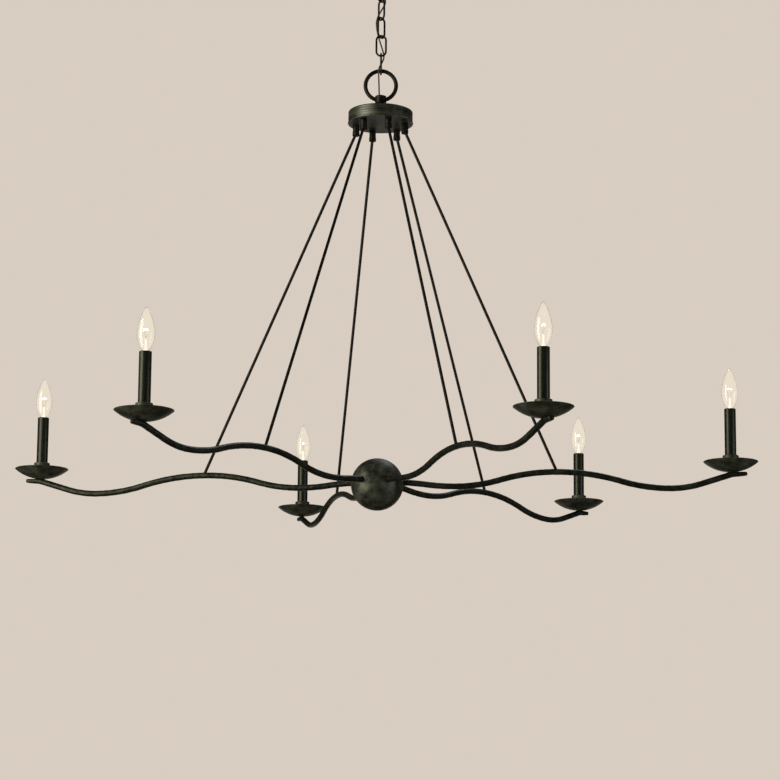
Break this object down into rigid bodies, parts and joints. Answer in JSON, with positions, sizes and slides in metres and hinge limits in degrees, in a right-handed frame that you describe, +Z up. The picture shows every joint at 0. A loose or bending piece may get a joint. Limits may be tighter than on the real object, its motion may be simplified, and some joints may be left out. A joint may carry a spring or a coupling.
{
  "type": "multi arm chandelier",
  "caption": "Hanging chandelier of wavy forged arms on a ball, each with a dished cup, candle sleeve and torpedo bulb, tied by thin rods to a round hub on a ring and chain.",
  "frame": {"origin": "middle of the mounting strap's top face, on the ceiling", "axes": "+Z up; -Y towards the viewer of the front; +X to the right; the fixture hangs along -Z"},
  "size_m": [1.4545, 1.3885, 1.1308],
  "materials": {
    "forged_iron": "matte forged-iron paint with a hammered, faintly green-grey mottle",
    "chain_iron": "matte black-brown paint on drawn steel wire",
    "sleeve_enamel": "satin black enamel on a thin drawn tube",
    "clear_glass": "clear blown glass",
    "screw_shell": "pressed brass screw shell",
    "phenolic": "moulded black phenolic",
    "zinc_steel": "zinc-plated steel",
    "hub_block": "bare machined iron block",
    "cord_sheath": "dark brown-black vinyl sheath",
    "wire_insulation": "black high-temperature insulation",
    "connector_nylon": "moulded orange nylon"
  },
  "bodies": {
    "ceiling": {"mounting_strap": "zinc_steel", "canopy_nipple": "zinc_steel", "nipple_nut": "zinc_steel", "canopy": "forged_iron", "collar_nut": "forged_iron", "canopy_loop": "forged_iron", "wire_nuts": "connector_nylon", "supply_cord_canopy": "cord_sheath"},
    "link_5": {"chain_link_5": "chain_iron", "supply_cord_5": "cord_sheath"},
    "link_4": {"chain_link_4": "chain_iron", "supply_cord_4": "cord_sheath"},
    "link_3": {"chain_link_3": "chain_iron", "supply_cord_3": "cord_sheath"},
    "link_2": {"chain_link_2": "chain_iron", "supply_cord_2": "cord_sheath"},
    "link_1": {"chain_link_1": "chain_iron", "supply_cord_1": "cord_sheath"},
    "ring": {"hanging_ring": "forged_iron", "supply_cord_ring": "cord_sheath"},
    "fixture": {"neck": "forged_iron", "neck_nut": "zinc_steel", "hub_shell": "forged_iron", "hub_plate": "forged_iron", "supply_cord_hub": "cord_sheath", "rod_bosses": "forged_iron", "lock_collars": "forged_iron", "tie_rods": "forged_iron", "ball_upper": "forged_iron", "ball_lower": "forged_iron", "arm_hub": "hub_block", "ball_screw": "forged_iron", "arm_right": "forged_iron", "arm_back_right": "forged_iron", "arm_back_left": "forged_iron", "arm_left": "forged_iron", "arm_front_left": "forged_iron", "arm_front_right": "forged_iron", "cup_right": "forged_iron", "cup_back_right": "forged_iron", "cup_back_left": "forged_iron", "cup_left": "forged_iron", "cup_front_left": "forged_iron", "cup_front_right": "forged_iron", "cup_seats": "forged_iron", "candle_sleeves": "sleeve_enamel", "lamp_sockets": "phenolic", "lamp_wiring": "wire_insulation"},
    "bulb_right": {"bulb_glass_right": "clear_glass", "bulb_base_right": "screw_shell"},
    "bulb_back_right": {"bulb_glass_back_right": "clear_glass", "bulb_base_back_right": "screw_shell"},
    "bulb_back_left": {"bulb_glass_back_left": "clear_glass", "bulb_base_back_left": "screw_shell"},
    "bulb_left": {"bulb_glass_left": "clear_glass", "bulb_base_left": "screw_shell"},
    "bulb_front_left": {"bulb_glass_front_left": "clear_glass", "bulb_base_front_left": "screw_shell"},
    "bulb_front_right": {"bulb_glass_front_right": "clear_glass", "bulb_base_front_right": "screw_shell"}
  },
  "joints": [
    {"name": "link_5_swing", "type": "hinge", "parent": "ceiling", "child": "link_5", "pos_m": [0, 0, -0.0646], "axis": [-0.6428, 0.766, 0], "range_deg": [-10, 10]},
    {"name": "link_4_swing", "type": "hinge", "parent": "link_5", "child": "link_4", "pos_m": [0, 0, -0.1018], "axis": [0.766, 0.6428, 0], "range_deg": [-10, 10]},
    {"name": "link_3_swing", "type": "hinge", "parent": "link_4", "child": "link_3", "pos_m": [0, 0, -0.1395], "axis": [-0.5736, 0.8192, 0], "range_deg": [-10, 10]},
    {"name": "link_2_swing", "type": "hinge", "parent": "link_3", "child": "link_2", "pos_m": [0, 0, -0.1772], "axis": [0.6691, 0.7431, 0], "range_deg": [-10, 10]},
    {"name": "link_1_swing", "type": "hinge", "parent": "link_2", "child": "link_1", "pos_m": [0, 0, -0.2149], "axis": [1, 0, 0], "range_deg": [-10, 10]},
    {"name": "ring_swing", "type": "hinge", "parent": "link_1", "child": "ring", "pos_m": [0, 0, -0.2526], "axis": [0, 1, 0], "range_deg": [-10, 10]},
    {"name": "fixture_swing", "type": "hinge", "parent": "ring", "child": "fixture", "pos_m": [0, 0, -0.3073], "axis": [1, 0, 0], "range_deg": [-10, 10]},
    {"name": "bulb_unscrew_right", "type": "slide", "parent": "fixture", "child": "bulb_right", "axis": [0, 0, 1], "range_m": [0, 0.02]},
    {"name": "bulb_unscrew_back_right", "type": "slide", "parent": "fixture", "child": "bulb_back_right", "axis": [0, 0, 1], "range_m": [0, 0.02]},
    {"name": "bulb_unscrew_back_left", "type": "slide", "parent": "fixture", "child": "bulb_back_left", "axis": [0, 0, 1], "range_m": [0, 0.02]},
    {"name": "bulb_unscrew_left", "type": "slide", "parent": "fixture", "child": "bulb_left", "axis": [0, 0, 1], "range_m": [0, 0.02]},
    {"name": "bulb_unscrew_front_left", "type": "slide", "parent": "fixture", "child": "bulb_front_left", "axis": [0, 0, 1], "range_m": [0, 0.02]},
    {"name": "bulb_unscrew_front_right", "type": "slide", "parent": "fixture", "child": "bulb_front_right", "axis": [0, 0, 1], "range_m": [0, 0.02]}
  ]
}
